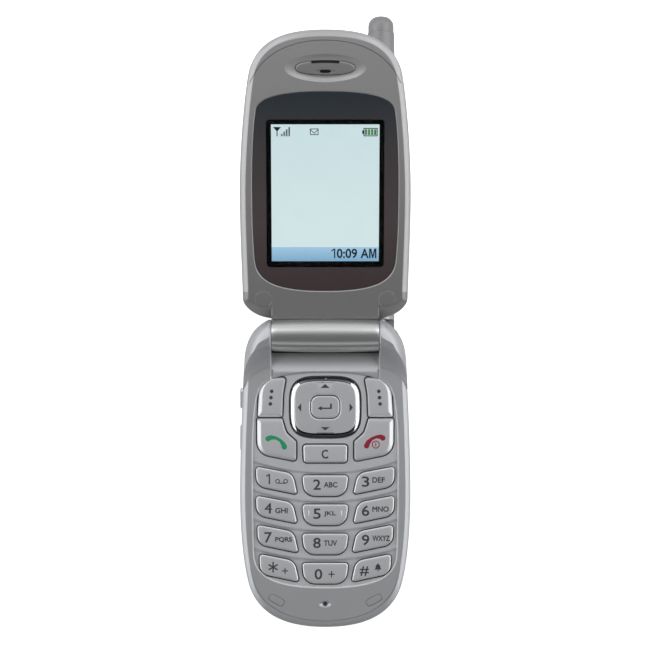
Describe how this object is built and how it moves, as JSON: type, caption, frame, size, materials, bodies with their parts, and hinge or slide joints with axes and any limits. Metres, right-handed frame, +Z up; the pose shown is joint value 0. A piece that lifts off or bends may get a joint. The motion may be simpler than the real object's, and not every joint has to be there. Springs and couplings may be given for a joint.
{
  "type": "flip phone",
  "caption": "Folding mobile phone with keypad base, display lid on a barrel hinge and pull-out antenna, opened flat on its back.",
  "frame": {"origin": "on the flat back of the battery, under the keypad, 40 mm in front of the hinge axis", "axes": "+Z up from the flat back to the keys, +Y from the keypad to the hinge and lid, +X to the right as the keypad is read"},
  "size_m": [0.0467, 0.1682, 0.0367],
  "materials": {
    "body_silver": "metallic paint, satin",
    "body_grey": "metallic paint, satin",
    "bright_silver": "metallic paint, satin",
    "bezel_grey": "metallic paint, satin",
    "key_silver": "metallic paint, satin",
    "nav_silver": "metallised, glossy rim",
    "black_plastic": "moulded",
    "rubber_grey": "matte",
    "mat_silicone": "translucent silicone",
    "board_green": "solder mask",
    "film": "film",
    "steel": "turned and stamped",
    "gold": "gold plated",
    "lens_dark": "printed clear plastic",
    "display": "lit display",
    "flex": "film",
    "weight_metal": "sintered",
    "battery_grey": "metallic paint, satin"
  },
  "bodies": {
    "base": {"front_housing": "body_silver", "rear_housing": "body_grey", "main_board": "board_green", "rf_shields": "steel", "dome_sheet": "film", "keypad_mat": "mat_silicone", "io_connector": "black_plastic", "headset_jack": "black_plastic", "microphone": "steel", "ringer_speaker": "black_plastic", "battery_contacts": "gold", "antenna_bushing": "steel", "housing_screws": "steel", "lid_bumpers": "rubber_grey", "hinge_cam_pin": "steel", "hinge_pivot_pin": "steel", "battery_pack": "battery_grey"},
    "latch": {"battery_latch": "bright_silver"},
    "antenna": {"antenna_rod": "steel", "antenna_cap": "body_grey"},
    "lid": {"lid_bezel": "bezel_grey", "lid_cover": "bright_silver", "hinge_barrel": "bright_silver", "hinge_cartridge": "steel", "flex_cable": "flex", "display_lens": "lens_dark", "lcd_module": "display", "lid_board": "board_green", "outer_display": "display", "outer_lens": "lens_dark", "earpiece_trim": "bright_silver", "earpiece_speaker": "black_plastic", "vibration_motor": "steel", "lid_magnet": "steel", "screw_caps": "body_grey", "lid_screws": "steel"},
    "motor_weight": {"motor_weight": "weight_metal"},
    "nav_carrier": {"nav_carrier": "black_plastic"},
    "nav_key": {"nav_key": "nav_silver"},
    "ok_key": {"ok_key": "key_silver"},
    "volume_up_key": {"volume_up_key": "key_silver"},
    "volume_down_key": {"volume_down_key": "key_silver"},
    "key_1": {"key_1": "key_silver"},
    "key_2": {"key_2": "key_silver"},
    "key_3": {"key_3": "key_silver"},
    "key_4": {"key_4": "key_silver"},
    "key_5": {"key_5": "key_silver"},
    "key_6": {"key_6": "key_silver"},
    "key_7": {"key_7": "key_silver"},
    "key_8": {"key_8": "key_silver"},
    "key_9": {"key_9": "key_silver"},
    "key_star": {"key_star": "key_silver"},
    "key_0": {"key_0": "key_silver"},
    "key_hash": {"key_hash": "key_silver"},
    "soft_key_left": {"soft_key_left": "key_silver"},
    "soft_key_right": {"soft_key_right": "key_silver"},
    "send_key": {"send_key": "key_silver"},
    "end_key": {"end_key": "key_silver"},
    "clear_key": {"clear_key": "key_silver"}
  },
  "joints": [
    {"name": "lid_hinge", "type": "hinge", "parent": "base", "child": "lid", "pos_m": [0, 0.04, 0.01485], "axis": [1, 0, 0], "range_deg": [0, 165]},
    {"name": "antenna_slide", "type": "slide", "parent": "base", "child": "antenna", "axis": [0, 1, 0], "range_m": [-0.055, 0]},
    {"name": "latch_slide", "type": "slide", "parent": "base", "child": "latch", "axis": [0, 1, 0], "range_m": [0, 0.0014], "stiffness_N_per_m": 400, "springref_m": -0.0005},
    {"name": "motor_spin", "type": "hinge", "parent": "lid", "child": "motor_weight", "pos_m": [0.011, 0.05598, 0.01665], "axis": [1, 0, 0], "continuous": true},
    {"name": "nav_tip", "type": "hinge", "parent": "base", "child": "nav_carrier", "pos_m": [0, 0.0205, 0.01055], "axis": [1, 0, 0], "range_deg": [-1.2, 1.2], "stiffness_Nm_per_rad": 0.2},
    {"name": "nav_lean", "type": "hinge", "parent": "nav_carrier", "child": "nav_key", "pos_m": [0, 0.0205, 0.01085], "axis": [0, 1, 0], "range_deg": [-1.2, 1.2], "stiffness_Nm_per_rad": 0.2},
    {"name": "ok_press", "type": "slide", "parent": "base", "child": "ok_key", "axis": [0, 0, -1], "range_m": [0, 0.00035], "stiffness_N_per_m": 1200, "springref_m": -0.0002},
    {"name": "volume_up_press", "type": "slide", "parent": "base", "child": "volume_up_key", "axis": [1, 0, 0], "range_m": [0, 0.0003], "stiffness_N_per_m": 1200, "springref_m": -0.0002},
    {"name": "volume_down_press", "type": "slide", "parent": "base", "child": "volume_down_key", "axis": [1, 0, 0], "range_m": [0, 0.0003], "stiffness_N_per_m": 1200, "springref_m": -0.0002},
    {"name": "key_1_press", "type": "slide", "parent": "base", "child": "key_1", "axis": [0, 0, -1], "range_m": [0, 0.00035], "stiffness_N_per_m": 1200, "springref_m": -0.0002},
    {"name": "key_2_press", "type": "slide", "parent": "base", "child": "key_2", "axis": [0, 0, -1], "range_m": [0, 0.00035], "stiffness_N_per_m": 1200, "springref_m": -0.0002},
    {"name": "key_3_press", "type": "slide", "parent": "base", "child": "key_3", "axis": [0, 0, -1], "range_m": [0, 0.00035], "stiffness_N_per_m": 1200, "springref_m": -0.0002},
    {"name": "key_4_press", "type": "slide", "parent": "base", "child": "key_4", "axis": [0, 0, -1], "range_m": [0, 0.00035], "stiffness_N_per_m": 1200, "springref_m": -0.0002},
    {"name": "key_5_press", "type": "slide", "parent": "base", "child": "key_5", "axis": [0, 0, -1], "range_m": [0, 0.00035], "stiffness_N_per_m": 1200, "springref_m": -0.0002},
    {"name": "key_6_press", "type": "slide", "parent": "base", "child": "key_6", "axis": [0, 0, -1], "range_m": [0, 0.00035], "stiffness_N_per_m": 1200, "springref_m": -0.0002},
    {"name": "key_7_press", "type": "slide", "parent": "base", "child": "key_7", "axis": [0, 0, -1], "range_m": [0, 0.00035], "stiffness_N_per_m": 1200, "springref_m": -0.0002},
    {"name": "key_8_press", "type": "slide", "parent": "base", "child": "key_8", "axis": [0, 0, -1], "range_m": [0, 0.00035], "stiffness_N_per_m": 1200, "springref_m": -0.0002},
    {"name": "key_9_press", "type": "slide", "parent": "base", "child": "key_9", "axis": [0, 0, -1], "range_m": [0, 0.00035], "stiffness_N_per_m": 1200, "springref_m": -0.0002},
    {"name": "key_star_press", "type": "slide", "parent": "base", "child": "key_star", "axis": [0, 0, -1], "range_m": [0, 0.00035], "stiffness_N_per_m": 1200, "springref_m": -0.0002},
    {"name": "key_0_press", "type": "slide", "parent": "base", "child": "key_0", "axis": [0, 0, -1], "range_m": [0, 0.00035], "stiffness_N_per_m": 1200, "springref_m": -0.0002},
    {"name": "key_hash_press", "type": "slide", "parent": "base", "child": "key_hash", "axis": [0, 0, -1], "range_m": [0, 0.00035], "stiffness_N_per_m": 1200, "springref_m": -0.0002},
    {"name": "soft_key_left_press", "type": "slide", "parent": "base", "child": "soft_key_left", "axis": [0, 0, -1], "range_m": [0, 0.00035], "stiffness_N_per_m": 1200, "springref_m": -0.0002},
    {"name": "soft_key_right_press", "type": "slide", "parent": "base", "child": "soft_key_right", "axis": [0, 0, -1], "range_m": [0, 0.00035], "stiffness_N_per_m": 1200, "springref_m": -0.0002},
    {"name": "send_key_press", "type": "slide", "parent": "base", "child": "send_key", "axis": [0, 0, -1], "range_m": [0, 0.00035], "stiffness_N_per_m": 1200, "springref_m": -0.0002},
    {"name": "end_key_press", "type": "slide", "parent": "base", "child": "end_key", "axis": [0, 0, -1], "range_m": [0, 0.00035], "stiffness_N_per_m": 1200, "springref_m": -0.0002},
    {"name": "clear_key_press", "type": "slide", "parent": "base", "child": "clear_key", "axis": [0, 0, -1], "range_m": [0, 0.00035], "stiffness_N_per_m": 1200, "springref_m": -0.0002}
  ]
}
